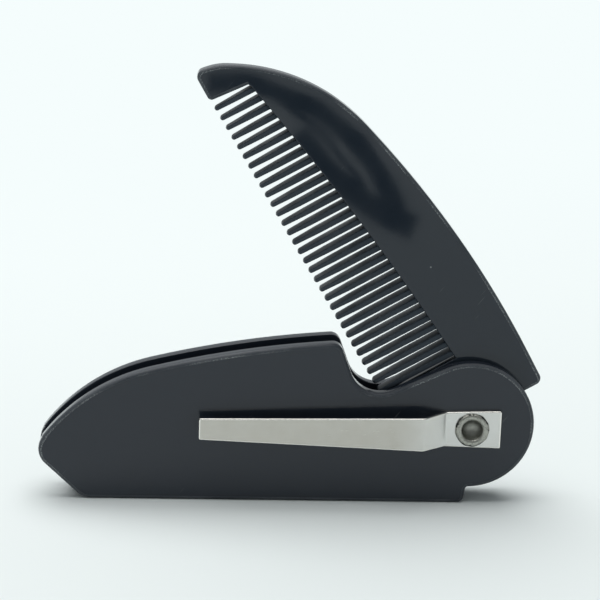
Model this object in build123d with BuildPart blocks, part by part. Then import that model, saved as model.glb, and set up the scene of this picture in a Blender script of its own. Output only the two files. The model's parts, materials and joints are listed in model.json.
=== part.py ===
"""Folding beard comb: a moulded comb swings on one rivet out of a slotted handle with a spring clip.

Millimetres, +Z up, X along the handle, Y through its thickness. The handle lies on its flat spine,
and the origin is the middle of that flat face. The clip side faces -Y.
"""
from build123d import *

import os
from math import asin, atan2, cos, degrees, radians, sin, tan

os.makedirs("parts", exist_ok=True)

# Comb blade: places are (along, up), along from the pivot to the tip, up from the pivot to the spine
COMB_THICKNESS = 4.0
SPINE_HEIGHT = 17.2  # straight part of the comb's spine above the pivot
SPINE_STRAIGHT = 10.0  # where the straight part ends
BACK_RADIUS = 209.5  # long gentle curve of the spine
BACK_TURN = 15.2  # degrees turned by the end of the long curve
NOSE_RADIUS = 37.9
NOSE_TURN = 60.0
TIP_RADIUS = 11.4
TIP_TURN = 80.0
TIP_CORNER_RADIUS = 1.5
HEEL_BACK = 0.36  # the heel's square end lies just behind the pivot
HEEL_CORNER_RADIUS = 1.0
HUB_INSET = 1.0  # the round hub lies this far inside the handle's round end
RIM_ROUND = 0.7  # rounding of the spine, tip and heel
ROOT_BEVEL = 0.35  # slope that leads from the blade's faces down to the thinner teeth

# Tip guard and hub guard, the solid ends of the row of teeth
GUARD_FOOT = 0.75  # how far the tip guard's inner foot stands off the first gap's middle
GUARD_ROUND = 0.9
HUB_GUARD_FOOT = 4.2  # width of the hub guard at its foot
HUB_GUARD_DEPTH = 11.6

# Comb teeth
PITCH = 2.211
FIRST_GAP = 82.47  # middle of the gap beside the tip guard
LAST_GAP = 13.93  # middle of the gap beside the hub
GAP_WIDTH = 1.25  # at the roots
TOOTH_THICKNESS = 3.6
TOOTH_DRAFT = 5.0  # degrees that a tooth's flanks slope from the mould's parting line to its faces
TIPS_FAR = 14.13  # depth of the tips below the pivot, beside the tip guard
TIPS_NEAR = 13.12  # and beside the hub
ROOTS_FAR = 5.75  # the roots start this far below the pivot at the tip guard
ROOTS_NEAR = 3.9  # and end this far above it at the hub
ROOTS_BOW = 1.09  # rise of the root line above its chord
TOOTH_SEAT = 0.9  # how far each tooth runs into the blade
TOOTH_BEVEL = 0.26
TAPER_LENGTH = 5.6  # run over which a tooth thins towards its tip
TAPER_SLOPE = 1.4  # degrees a side
TIP_LENGTH = 0.4  # steeper end of a tooth
TIP_SLOPE = 28.0

# Handle: one moulding, two cheeks joined by a spine along the bottom; places are taken from the pivot
CHEEK = 2.8
SIDE_CLEARANCE = 0.2  # between the comb's faces and the cheeks
WEB = 2.9  # thickness of the handle's spine
NEST_GAP = 0.45  # the folded comb's spine lies this far inside the handle's top line
TIPS_CLEARANCE = 0.2  # between the folded comb's tips and the handle's spine
STOP_GAP = 0.1  # between the open comb's heel and the end of the handle's spine
TAIL_FLAT = 77.8  # the spine's flat runs this far back before the tail is cut off at a slant
TAIL_RADIUS = 4.2
TAIL_FOOT_RADIUS = 4.0
END_BACK = 0.5  # the rounded end's centre lies a little behind and above the pivot
END_UP = 0.4
STEP_HEIGHT = 3.4  # step from the spine's flat face up to the rounded end
STEP_LEAN = 9.0  # degrees that the spine's end leans back
STEP_FOOT_RADIUS = 1.2
STEP_TOP_RADIUS = 0.6
NOTCH_TURN = 4.75  # the finger notch starts where the top line has turned down this many degrees
NOTCH_CORNER_RADIUS = 2.2
NOTCH_RADIUS = 6.3
RAMP_SLOPE = 24.5  # degrees, from the notch up to the round end
RAMP_LENGTH = 18.05
CHEEK_BREAK = 0.7  # outer rims
SLOT_BREAK = 0.2  # inner rims

# Pocket clip: one tapering strip of spring steel
CLIP_THICKNESS = 0.9
CLIP_PAD_END = 5.75  # beyond the pivot
CLIP_PAD_START = 4.9  # before the pivot, where the strip bends away from the handle
CLIP_BEND_RUN = 4.7
CLIP_STAND_OFF = 4.0  # gap to the handle at the bend
CLIP_END_GAP = 2.2  # gap to the handle at the free end
CLIP_LENGTH = 54.9  # pivot to free end
CLIP_PAD_WIDTH = 7.9
CLIP_END_WIDTH = 4.5
CLIP_BEND_RADIUS = 1.4
CLIP_CORNER_RADIUS = 0.35

# Pivot rivet: semi-tubular, headed at the back and rolled over the clip at the front
SHANK_RADIUS = 2.4
SHANK_CLEARANCE = 0.05
HEAD_RADIUS = 4.0
HEAD_HEIGHT = 1.1
HEAD_RIM = 0.3
ROLL_RADIUS = 3.45
ROLL_HEIGHT = 0.6
ROLL_BREAK = 0.2
TUBE_RADIUS = 2.05
TUBE_DEPTH = 2.6
TUBE_CONE = 0.7

# Pose and cuts
REST_AXIS = 120.26  # degrees from +X up to the comb's axis
OVERRUN = 5.0

slot = COMB_THICKNESS + 2 * SIDE_CLEARANCE
handle_thickness = slot + 2 * CHEEK

# The folded comb's tips lie level, so its own axis is then tilted by the slope of the tip line
fold_tilt = atan2(TIPS_FAR - TIPS_NEAR, FIRST_GAP - LAST_GAP)
web_top = FIRST_GAP * sin(fold_tilt) - TIPS_FAR * cos(fold_tilt) - TIPS_CLEARANCE
pivot_height = WEB - web_top
end_radius = pivot_height + END_UP - STEP_HEIGHT
hub_radius = end_radius - HUB_INSET

pivot_place = ((TAIL_FLAT + HEEL_BACK + STOP_GAP) / 2, 0, pivot_height)
pivot_axis = Axis(pivot_place, (0, 1, 0))
rest = radians(REST_AXIS)
comb_plane = Plane(origin=pivot_place, x_dir=(cos(rest), 0, sin(rest)), z_dir=(0, 1, 0))

# Planes through the pivot: the handle's side view, its plan view, and a plan with local y to the front
side_plane = Plane(origin=pivot_place, x_dir=(1, 0, 0), z_dir=(0, -1, 0))
plan_plane = Plane(origin=pivot_place, x_dir=(1, 0, 0), z_dir=(0, 0, 1))
rivet_plane = Plane(origin=pivot_place, x_dir=(1, 0, 0), z_dir=(0, 0, -1))

tooth_count = round((FIRST_GAP - LAST_GAP) / PITCH)
pitch = (FIRST_GAP - LAST_GAP) / tooth_count


def folded(place):
    """Turn a place on the comb into the handle's (x, z) from the pivot, with the comb folded away."""
    along, up = place
    return (up * sin(fold_tilt) - along * cos(fold_tilt), up * cos(fold_tilt) + along * sin(fold_tilt))


def arc_place(centre, radius, turn):
    """Place on an arc whose tangent has turned down by an angle from the comb's own axis."""
    return (centre[0] + radius * sin(radians(turn)), centre[1] + radius * cos(radians(turn)))


def spine_arc(centre, radius, start, end, place=lambda point: point):
    """Arc of the spine from one turn to another, laid out by a rule for its places."""
    turns = (start, (start + end) / 2, end)
    return ThreePointArc(*[place(arc_place(centre, radius, turn)) for turn in turns])


def gap_share(along):
    """Share of the way from the hub's gap to the tip's gap."""
    return (along - LAST_GAP) / (FIRST_GAP - LAST_GAP)


def tip_up(along):
    """Height of the line of tips above the comb's axis."""
    return -TIPS_NEAR - (TIPS_FAR - TIPS_NEAR) * gap_share(along)


def root_up(along):
    """Height of the bowed line of roots above the comb's axis."""
    share = gap_share(along)
    return ROOTS_NEAR - (ROOTS_NEAR + ROOTS_FAR) * share + 4 * share * (1 - share) * ROOTS_BOW


back_centre = (SPINE_STRAIGHT, SPINE_HEIGHT - BACK_RADIUS)
nose_centre = arc_place(back_centre, BACK_RADIUS - NOSE_RADIUS, BACK_TURN)
tip_centre = arc_place(nose_centre, NOSE_RADIUS - TIP_RADIUS, NOSE_TURN)

# Handle
slot_reach = TAIL_FLAT + NOSE_RADIUS
slot_rise = SPINE_HEIGHT + NEST_GAP + OVERRUN
notch_corner = folded(arc_place(back_centre, BACK_RADIUS + NEST_GAP, NOTCH_TURN))
tail_corner = folded(arc_place(nose_centre, NOSE_RADIUS + NEST_GAP, NOSE_TURN))
tail_foot = (-TAIL_FLAT, -pivot_height)
end_centre = (-END_BACK, END_UP)
ramp = radians(RAMP_SLOPE)
ramp_top = (end_centre[0] - end_radius * sin(ramp), end_centre[1] + end_radius * cos(ramp))
notch_floor = (ramp_top[0] - RAMP_LENGTH * cos(ramp), ramp_top[1] - RAMP_LENGTH * sin(ramp))

# The spine's end leans back and runs on up inside the round end
step_lean = tan(radians(STEP_LEAN))
step_top = (-HEEL_BACK - STOP_GAP, END_UP - end_radius)
step_foot = (step_top[0] - (pivot_height + step_top[1]) * step_lean, -pivot_height)
step_crest = (step_top[0] + end_radius * step_lean, END_UP)


def on_slot_mouth(edge):
    """Whether an edge is one of the cheeks' inner rims, above the spine."""
    centre = edge.center()
    inner = abs(abs(centre.Y) - slot / 2) < SLOT_BREAK / 2
    return inner and centre.Z > pivot_height + web_top + SLOT_BREAK


with BuildPart() as handle:
    with BuildSketch(side_plane) as handle_side:
        with BuildLine():
            spine_arc(back_centre, BACK_RADIUS + NEST_GAP, NOTCH_TURN, BACK_TURN, folded)
            spine_arc(nose_centre, NOSE_RADIUS + NEST_GAP, BACK_TURN, NOSE_TURN, folded)
            Polyline(tail_corner, tail_foot, step_foot, step_crest, end_centre)
            Polyline(end_centre, ramp_top, notch_floor, notch_corner)
        make_face()
        with Locations(end_centre):
            Circle(end_radius)
        for place, radius in (
            (notch_corner, NOTCH_CORNER_RADIUS),
            (notch_floor, NOTCH_RADIUS),
            (tail_corner, TAIL_RADIUS),
            (tail_foot, TAIL_FOOT_RADIUS),
            (step_foot, STEP_FOOT_RADIUS),
            (step_top, STEP_TOP_RADIUS),
        ):
            fillet(handle_side.vertices().sort_by_distance(place)[0], radius)
    extrude(amount=handle_thickness / 2, both=True)
    outer_faces = handle.faces().filter_by(Axis.Y).sort_by(Axis.Y)
    chamfer(outer_faces[0].edges() + outer_faces[-1].edges(), CHEEK_BREAK)
    with BuildSketch(side_plane):
        with Locations((0, web_top)):
            Rectangle(2 * slot_reach, slot_rise - web_top, align=(Align.CENTER, Align.MIN))
    extrude(amount=slot / 2, both=True, mode=Mode.SUBTRACT)
    chamfer(handle.edges().filter_by(on_slot_mouth), SLOT_BREAK)
    with BuildSketch(side_plane):
        Circle(SHANK_RADIUS + SHANK_CLEARANCE)
    extrude(amount=handle_thickness, both=True, mode=Mode.SUBTRACT)
handle.part.label = "handle"
export_step(handle.part, "parts/handle.step")

# Comb
hub_edge = LAST_GAP - GAP_WIDTH / 2
middle = (FIRST_GAP + hub_edge) / 2
heel_corner = (-HEEL_BACK, SPINE_HEIGHT)
tip_end = arc_place(tip_centre, TIP_RADIUS, TIP_TURN)
tip_drop = tip_end[1] - tip_up(FIRST_GAP)
tip_foot = (tip_end[0] + tip_drop / tan(radians(TIP_TURN)), tip_up(FIRST_GAP))
guard_foot = (FIRST_GAP + GUARD_FOOT, tip_up(FIRST_GAP))
hub_guard_foot = (hub_edge, -HUB_GUARD_DEPTH)
hub_guard_heel = (hub_edge - HUB_GUARD_FOOT, -HUB_GUARD_DEPTH)
roots = [(along, root_up(along)) for along in (FIRST_GAP, middle, hub_edge)]
teeth_step = (COMB_THICKNESS - TOOTH_THICKNESS) / 2


def on_rim(edge):
    """Whether an edge belongs to the rounded rim of the heel, spine, tip or tip guard."""
    along, up, side = comb_plane.to_local_coords(edge.center())
    if abs(side) < COMB_THICKNESS / 4:
        return False
    return along > FIRST_GAP or up > hub_radius or (along > 0 and up > root_up(along) + ROOT_BEVEL)


def beside_teeth(side, height):
    """Face over the teeth, at a depth to one side and with its upper edge raised above the roots."""
    with BuildSketch(comb_plane.offset(side)) as face:
        with BuildLine():
            upper = [(along, up + height) for along, up in roots]
            ThreePointArc(*upper)
            Polyline(upper[-1], (hub_edge, -ROOTS_FAR), (FIRST_GAP, -ROOTS_FAR - OVERRUN), upper[0])
        make_face()
    return face.sketch


def tooth(along):
    """One tooth: a straight run out of the blade, a slowly thinning run and a steeper tip."""
    seat = comb_plane.from_local_coords((along, root_up(along) + TOOTH_SEAT, 0))
    straight = root_up(along) + TOOTH_SEAT - tip_up(along) - TAPER_LENGTH - TIP_LENGTH
    down = Axis(seat, -comb_plane.y_dir)
    face_half = (pitch - GAP_WIDTH) / 2
    ridge_half = face_half + TOOTH_THICKNESS / 2 * tan(radians(TOOTH_DRAFT))
    half = [(face_half, TOOTH_THICKNESS / 2), (ridge_half, 0), (face_half, -TOOTH_THICKNESS / 2)]
    with BuildPart() as bar:
        with BuildSketch(Plane(origin=seat, x_dir=comb_plane.x_dir, z_dir=down.direction)) as section:
            with BuildLine():
                Polyline(*half, *[(-across, -through) for across, through in half], close=True)
            make_face()
            chamfer(section.vertices().sort_by_distance(seat)[2:], TOOTH_BEVEL)
        extrude(amount=straight)
        extrude(bar.faces().sort_by(down)[-1], amount=TAPER_LENGTH, taper=TAPER_SLOPE)
        extrude(bar.faces().sort_by(down)[-1], amount=TIP_LENGTH, taper=TIP_SLOPE)
    return bar.part


teeth = [tooth(FIRST_GAP - (number + 0.5) * pitch) for number in range(tooth_count)]
root_bevels = []
for face_side in (-1, 1):
    inner = beside_teeth(face_side * (COMB_THICKNESS / 2 - teeth_step), 0)
    outer = beside_teeth(face_side * (COMB_THICKNESS / 2 + teeth_step), 2 * ROOT_BEVEL)
    root_bevels.append(loft([inner, outer], ruled=True))

with BuildPart() as comb:
    with BuildSketch(comb_plane) as comb_side:
        with BuildLine():
            Line(heel_corner, (SPINE_STRAIGHT, SPINE_HEIGHT))
            spine_arc(back_centre, BACK_RADIUS, 0, BACK_TURN)
            spine_arc(nose_centre, NOSE_RADIUS, BACK_TURN, NOSE_TURN)
            spine_arc(tip_centre, TIP_RADIUS, NOSE_TURN, TIP_TURN)
            Polyline(tip_end, tip_foot, guard_foot, roots[0])
            ThreePointArc(*roots)
            Polyline(roots[-1], hub_guard_foot, hub_guard_heel, (-HEEL_BACK, 0), heel_corner)
        make_face()
        for place, radius in (
            (heel_corner, HEEL_CORNER_RADIUS),
            (tip_foot, TIP_CORNER_RADIUS),
            (guard_foot, GUARD_ROUND),
            (hub_guard_foot, GUARD_ROUND),
        ):
            fillet(comb_side.vertices().sort_by_distance(place)[0], radius)
        Circle(hub_radius)
    extrude(amount=COMB_THICKNESS / 2, both=True)
    fillet(comb.edges().filter_by(on_rim), RIM_ROUND)
    add(root_bevels, mode=Mode.SUBTRACT)
    add(teeth)
    with BuildSketch(comb_plane):
        Circle(SHANK_RADIUS + SHANK_CLEARANCE)
    extrude(amount=slot, both=True, mode=Mode.SUBTRACT)
comb.part.label = "comb"
export_step(comb.part, "parts/comb.step")

# Pocket clip: its run is laid out in plan, and its tapering outline in the side view
clip_seat = handle_thickness / 2
clip_reach = clip_seat + CLIP_STAND_OFF + CLIP_THICKNESS + OVERRUN
clip_run = (
    (CLIP_PAD_END, -clip_seat),
    (-CLIP_PAD_START, -clip_seat),
    (-CLIP_PAD_START - CLIP_BEND_RUN, -clip_seat - CLIP_STAND_OFF),
    (-CLIP_LENGTH, -clip_seat - CLIP_END_GAP),
)
clip_outline = (
    (CLIP_PAD_END, CLIP_PAD_WIDTH / 2),
    (-CLIP_LENGTH, CLIP_END_WIDTH / 2),
    (-CLIP_LENGTH, -CLIP_END_WIDTH / 2),
    (CLIP_PAD_END, -CLIP_PAD_WIDTH / 2),
)

with BuildPart() as pocket_clip:
    with BuildSketch(plan_plane):
        with BuildLine():
            strip = FilletPolyline(*clip_run, radius=CLIP_BEND_RADIUS)
            offset(strip, amount=CLIP_THICKNESS, side=Side.LEFT)
        make_face()
    extrude(amount=CLIP_PAD_WIDTH, both=True)
    with BuildSketch(side_plane) as clip_side:
        with BuildLine():
            Polyline(*clip_outline, close=True)
        make_face()
        fillet(clip_side.vertices(), CLIP_CORNER_RADIUS)
    extrude(amount=clip_reach, mode=Mode.INTERSECT)
    with BuildSketch(side_plane):
        Circle(SHANK_RADIUS + SHANK_CLEARANCE)
    extrude(amount=clip_reach, mode=Mode.SUBTRACT)
pocket_clip.part.label = "pocket_clip"
export_step(pocket_clip.part, "parts/pocket_clip.step")

# Pivot rivet: heights are taken towards the front, from the middle of the handle
head_seat = -handle_thickness / 2
roll_seat = handle_thickness / 2 + CLIP_THICKNESS
roll_top = roll_seat + ROLL_HEIGHT
dome_height = HEAD_HEIGHT - HEAD_RIM
dome_radius = (HEAD_RADIUS**2 + dome_height**2) / (2 * dome_height)
dome_turn = degrees(asin(HEAD_RADIUS / dome_radius))

with BuildPart() as pivot_rivet:
    with BuildSketch(rivet_plane):
        with BuildLine():
            dome = JernArc((0, head_seat - HEAD_HEIGHT), (1, 0), dome_radius, dome_turn)
            Polyline(
                dome @ 1,
                (HEAD_RADIUS, head_seat),
                (SHANK_RADIUS, head_seat),
                (SHANK_RADIUS, roll_seat),
                (ROLL_RADIUS, roll_seat),
                (ROLL_RADIUS, roll_top),
                (TUBE_RADIUS, roll_top),
                (TUBE_RADIUS, roll_top - TUBE_DEPTH),
                (0, roll_top - TUBE_DEPTH - TUBE_CONE),
                dome @ 0,
            )
        make_face()
    revolve(axis=pivot_axis)
    chamfer(pivot_rivet.faces().sort_by(Axis.Y)[0].edges(), ROLL_BREAK)
pivot_rivet.part.label = "pivot_rivet"
export_step(pivot_rivet.part, "parts/pivot_rivet.step")
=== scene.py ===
"""Folding beard comb: the moulded handle and comb, the spring clip and the rolled rivet.

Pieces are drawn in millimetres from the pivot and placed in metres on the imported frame.
"""
import json
from math import acos, atan2, ceil, copysign, cos, pi, radians, sin, sqrt

import bmesh
import bpy
from bpy.props import FloatProperty, FloatVectorProperty, PointerProperty
from mathutils import Matrix, Vector


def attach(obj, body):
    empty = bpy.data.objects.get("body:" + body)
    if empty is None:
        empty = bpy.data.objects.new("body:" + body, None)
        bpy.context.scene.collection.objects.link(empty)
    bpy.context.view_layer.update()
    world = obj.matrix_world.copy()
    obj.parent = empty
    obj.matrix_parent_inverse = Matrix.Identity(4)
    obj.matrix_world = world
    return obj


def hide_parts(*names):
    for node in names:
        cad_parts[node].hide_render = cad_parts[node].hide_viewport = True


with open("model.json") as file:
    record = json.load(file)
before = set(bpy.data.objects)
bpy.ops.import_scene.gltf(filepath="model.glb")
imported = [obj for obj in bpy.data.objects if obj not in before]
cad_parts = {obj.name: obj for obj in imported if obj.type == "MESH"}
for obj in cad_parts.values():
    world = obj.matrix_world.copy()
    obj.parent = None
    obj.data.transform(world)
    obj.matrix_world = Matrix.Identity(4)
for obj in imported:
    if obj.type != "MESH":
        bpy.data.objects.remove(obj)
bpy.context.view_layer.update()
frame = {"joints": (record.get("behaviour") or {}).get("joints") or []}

bl_info = {
    "name": "Folding Beard Comb",
    "version": (1, 0, 0),
    "blender": (4, 5, 0),
    "location": "3D View > Sidebar > Beard Comb",
    "description": "Models a folding beard comb on its packed frame and lights it",
    "category": "Object",
}

MM = 0.001
HINGE = frame["joints"][0]
PIVOT = Vector(HINGE["pos_m"])

# Handle, seen from the clip side: circles that its outline runs round as a belt does round
# pulleys, as (right of the pivot, above it, radius); inside a hollow the radius is negative
HANDLE_BELT = (
    (-0.3, 0.45, 13.08),  # round end
    (-18.83, 13.26, -6.3),  # floor of the finger notch
    (-28.6, 15.02, 2.2),  # corner of the notch
    (-12.83, -192.13, 209.95),  # long back
    (-55.38, -25.89, 38.35),  # nose
    (-82.83, -5.8, 4.2),  # tail corner
    (-76.5, -12.01, 4.0),  # tail foot
    (-2.02, -14.81, 1.2),  # foot of the step
    (0.05, -13.2, -0.6),  # top of the step
)
HANDLE_HALF = 5.0  # half of its thickness
SLOT_HALF = 2.2
WEB_TOP = -13.11  # top of the spine that joins the two cheeks
BORE_RADIUS = 2.45
BORE_MARGIN = 0.5  # what lies within this of the bore belongs to it
BORE_STEPS = 64

# Comb blade: places are (along, up), along from the pivot to the tip, up towards its back
REST_AXIS = radians(120.26)  # from level up to the comb's own axis
COMB_HALF = 2.0
HUB_RADIUS = 12.01
HEEL_END = 0.6  # where the heel's square end lies
BACK_BELT = (
    (87.85, -12.63, 1.5),  # corner of the tip guard
    (77.94, -13.45, 11.4),  # tip
    (54.99, -25.8, 37.43),  # nose
    (11.0, -192.3, 209.63),  # long back
    (2.0, 15.8, 1.4),  # heel
)
HEEL_FOOT = (HEEL_END, sqrt(HUB_RADIUS**2 - HEEL_END**2), 0.0)
HUB_GUARD_BELT = ((7.37, -9.48, 0.0), (9.5, -11.2, 0.4), (12.85, -10.7, 0.9))
TIP_GUARD_BELT = ((82.02, -6.2, -0.5), (84.1, -13.23, 0.9))

# Row of teeth
FIRST_GAP = 82.37  # middle of the gap beside the tip guard
LAST_GAP = 13.83  # and of the one beside the hub guard
TOOTH_COUNT = 31
ROOTS_NEAR = 3.9  # height of the roots at the last gap
ROOTS_FAR = -5.75  # and at the first
ROOTS_BOW = 1.09  # rise of the line of roots above its chord
TIPS_NEAR = -13.12  # height of the tips at the last gap
TIPS_FAR = -14.13  # and at the first
ROOTS_MARGIN = 0.5  # edges this near to the line of roots belong to it
HUB_GUARD_WIDTH = 6.0  # the foot of the hub guard, which is rounded as the roots are
TOOTH_SEAT = 1.2  # how far a tooth runs into the blade
TAPER_LENGTH = 5.2  # run over which a tooth thins, its rounded tip included
TIP_LENGTH = 0.6  # of the rounded tip
TIP_TURNS = (20.0, 40.0, 60.0, 78.0)  # degrees round the tip at which its rings lie

# Pocket clip: a flat blank, in (right, up) from the pivot, bent twice towards the front
PAD_END = 5.92
FIRST_BEND = -4.9  # where the bend away from the handle starts
BEND_RUN = 6.17  # from the start of one bend to the start of the other, along the strip
BLANK_LENGTH = 56.4  # pivot to free end, measured along the strip
PAD_WIDTH = 7.9
END_WIDTH = 4.5
BEND_STEPS = 10

# Pivot rivet, in (radius, height towards the front)
SHANK_RADIUS = 2.4
HEAD_RADIUS = 4.0
HEAD_DEPTH = 6.1
HEAD_RIM = 0.3
HEAD_DOME = ((0.5, 0.22), (0.85, 0.6))  # share of the head's radius, fall from its crown
ROLL_TOP = 6.5
ROLL_RADIUS = 3.45
TUBE_RADIUS = 2.05
TUBE_FLOOR = 4.7
TUBE_CONE = 0.5  # depth of the drilled point under the tube's floor
SPIN_STEPS = 96
ROLL_WAVES = ((3, 0.012, 0.6), (8, 0.01, 0.0), (13, 0.008, 2.0))  # waves round it, share, start

# Camera: the photograph's view, found from the outlines of the slot's two sides
CAMERA_ELEVATION = radians(15.0)
CAMERA_AZIMUTH = radians(-3.48)
CAMERA_ROLL = radians(1.94)
CAMERA_DEPTH = 418.5  # distance to the pivot along the line of sight
FOCAL_PIXELS = 2048.8
FRAME_PIXELS = 600
SENSOR_WIDTH = 36.0
PIVOT_PIXEL = (468.22, 420.63)
CAMERA_RANGE = (0.01, 50.0)  # nearest and farthest that it sees, in metres

# Dark cards in front, as (right, above the floor, radius, width, start and turn in degrees)
DARK_CARDS = (
    (-9.7, 24.2, 44.6, 4.4, 96.0, -84.0),
    (-27.7, 12.5, 60.8, 1.6, 64.0, -40.0),
    (61.6, 96.9, 67.5, 6.0, -144.0, 33.0),
)
CARDS_AT = -100.0  # how far to the front they stand
CARD_STEPS = 24

# Floor, backdrop and lamp, in metres
FLOOR_RADIUS = 6.0
FLOOR_STEPS = 64
FLOOR_FADE = (0.06, 0.4)  # distance from the middle where the floor starts and ends fading
BACKDROP_SIDE = (-0.3, 0.5)  # share of a direction to the back, where the backdrop fades in
BACKDROP_TOP = (0.2, 0.5)  # and share upwards, where it fades out
LAMP_PLACE = (-0.1, 0.22, 0.93)
LAMP_AIM = (0.0, 0.0, 0.03)
LAMP_WIDTH = 1.3

# Drawing tolerances and steps
ARC_SAGITTA = 0.008  # an arc's straight pieces leave it by no more than this
ARC_STEPS = 4  # least number of straight pieces in an arc
ARC_SLACK = 0.01  # an arc that seems to run back by more than this goes the long way round
BELT_WELD = 0.02  # ends of arcs that run straight on into each other
WELD = 1e-4
FACING = 0.99  # a face looks up or down if its normal has this share of height
HALF_WAY = 0.5  # parts what lies level from what stands upright, in a vector of length 1
RIM_STEPS = 5  # bevel segments of the large rims
FINE_STEPS = 2  # and of the small ones, in the slot and along the roots
CUT_STEPS = 4  # and of the clip's cut edges
TOOTH_STEPS = 3

# A piece's material slots, and the numbers of a Mix node's colour sockets
RUBBED = 1  # on rounded rims and cut edges
SATIN = 2  # on the comb's teeth
COLOUR_A = 6
COLOUR_B = 7
COLOUR_OUT = 2


def length(name, text, default):
    """A size in the panel, shown as a length; its default is given in millimetres."""
    return FloatProperty(
        name=name, description=text, default=default * MM, min=0.0, precision=5,
        unit="LENGTH", subtype="DISTANCE",
    )


def linear(hex_colour):
    """Turn an sRGB hex colour into the linear one that shaders take."""
    channels = [int(hex_colour[place:place + 2], 16) / 255 for place in (1, 3, 5)]
    return tuple(c / 12.92 if c <= 0.04045 else ((c + 0.055) / 1.055) ** 2.4 for c in channels)


def colour(name, text, default):
    """A colour in the panel; its default is an sRGB hex value."""
    return FloatVectorProperty(
        name=name, description=text, default=linear(default), min=0.0, max=1.0, size=3,
        subtype="COLOR",
    )


class HandleSettings(bpy.types.PropertyGroup):
    rim: length("Outer rim", "Rounding of the cheeks' outer rims", 0.75)
    slot_rim: length("Slot rim", "Rounding of the cheeks' inner rims", 0.22)
    plastic: colour("Plastic", "Colour of the handle's moulding", "#262C35")


class CombSettings(bpy.types.PropertyGroup):
    rim: length("Back rim", "Rounding of the comb's back, tip and heel", 0.7)
    root_rim: length("Root rim", "Rounding along the roots of the teeth", 0.2)
    tooth_width: length("Tooth width", "Width of a tooth's front and back at its root", 1.16)
    ridge_width: length("Ridge width", "Width of a tooth at its parting line, at its root", 1.5)
    middle_width: length("Middle width", "Width of a tooth's front where its point begins", 0.96)
    tip_width: length("Tip width", "Width of a tooth's front before its rounded tip", 0.72)
    tooth_thickness: length("Tooth thickness", "Thickness of a tooth at its root", 3.6)
    tip_thickness: length("Tip thickness", "Thickness of a tooth before its tip", 3.0)
    tooth_round: length("Tooth rounding", "Rounding of a tooth's long edges", 0.2)
    plastic: colour("Plastic", "Colour of the comb's moulding", "#222A33")
    # The teeth's paler colour is painted sheen on the blade's own plastic
    tooth_plastic_with_sheen: colour("Tooth plastic", "Colour of the teeth, paler for their satin", "#373F47")


class ClipSettings(bpy.types.PropertyGroup):
    thickness: length("Thickness", "Thickness of the spring strip", 0.9)
    bend_radius: length("Bend radius", "Radius on the inside of the bends", 1.0)
    edge: length("Edge", "Breaking of the strip's cut edges", 0.28)
    corner: length("Corner", "Rounding of the strip's corners", 0.35)
    first_turn: FloatProperty(
        name="First bend", description="Turn away from the handle", default=radians(39.8),
        unit="ROTATION", subtype="ANGLE",
    )
    second_turn: FloatProperty(
        name="Second bend", description="Turn back towards the handle", default=radians(42.1),
        unit="ROTATION", subtype="ANGLE",
    )
    # steel colours the free strip, which ramps to pad_steel's paler colour at the pad
    steel: colour("Steel", "Colour of the clip's plating where pockets have dulled it", "#BDB9B0")
    pad_steel: colour("Pad steel", "Colour of the clip's plating under the rivet", "#D7D7D4")
    # Burnished edges, painted paler as a highlight along them
    edge_steel_highlight: colour("Edge steel", "Colour of the clip's burnished edges", "#EFEDE7")


class RivetSettings(bpy.types.PropertyGroup):
    roll: length("Roll", "Rounding of the rolled rim", 0.35)
    steel: colour("Steel", "Colour of the rivet's plating", "#AEAEA6")


class StageSettings(bpy.types.PropertyGroup):
    floor: colour("Floor", "Colour of the floor", "#E6ECEB")
    backdrop: colour("Backdrop", "Colour that the camera sees behind the floor", "#F5FDFD")
    sky_strength: FloatProperty(
        name="Backdrop strength", description="Light from the backdrop", default=0.55, min=0.0,
    )
    room_strength: FloatProperty(
        name="Room strength", description="Light from the rest of the room", default=0.3, min=0.0,
    )
    lamp_power: FloatProperty(
        name="Lamp power", description="Power of the large lamp overhead", default=11.2, min=0.0,
        unit="POWER",
    )


def outward(first, second):
    """Normal, outwards, of the straight run from one circle of a belt to the next."""
    run = Vector(second[:2]) - Vector(first[:2])
    lean = max(-1.0, min(1.0, (first[2] - second[2]) / run.length))
    along = run.normalized()
    normal = lean * along + sqrt(1.0 - lean * lean) * Vector((along.y, -along.x))
    return normal.to_3d()


def belt(bm, rounds):
    """Draw a closed line round circles, anticlockwise."""
    count = len(rounds)
    normals = [outward(rounds[n], rounds[(n + 1) % count]) for n in range(count)]
    tip = None
    for n, (right, up, radius) in enumerate(rounds):
        centre = Vector((right, up, 0.0))
        start, end = normals[n - 1], normals[n]
        place = centre + radius * start
        if tip is None:
            tip = first = bm.verts.new(place)
        else:
            tip = bmesh.ops.extrude_vert_indiv(bm, verts=[tip])["verts"][0]
            tip.co = place
        turn = atan2(start.cross(end).z, start.dot(end))
        if radius * turn < -ARC_SLACK:
            turn += 2 * pi if radius > 0 else -2 * pi
        if radius * turn > WELD:
            chord = 2 * acos(1.0 - min(1.0, ARC_SAGITTA / abs(radius)))
            steps = max(ARC_STEPS, ceil(abs(turn) / chord))
            swept = bmesh.ops.spin(
                bm, geom=[tip], cent=centre, axis=(0.0, 0.0, 1.0), angle=turn, steps=steps,
                use_merge=False, use_duplicate=False,
            )
            tip = next(part for part in swept["geom_last"] if isinstance(part, bmesh.types.BMVert))
    bm.edges.new((tip, first))
    bmesh.ops.remove_doubles(bm, verts=bm.verts[:], dist=BELT_WELD)


def middle(edge):
    """Place half way along an edge."""
    return (edge.verts[0].co + edge.verts[1].co) / 2


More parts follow.
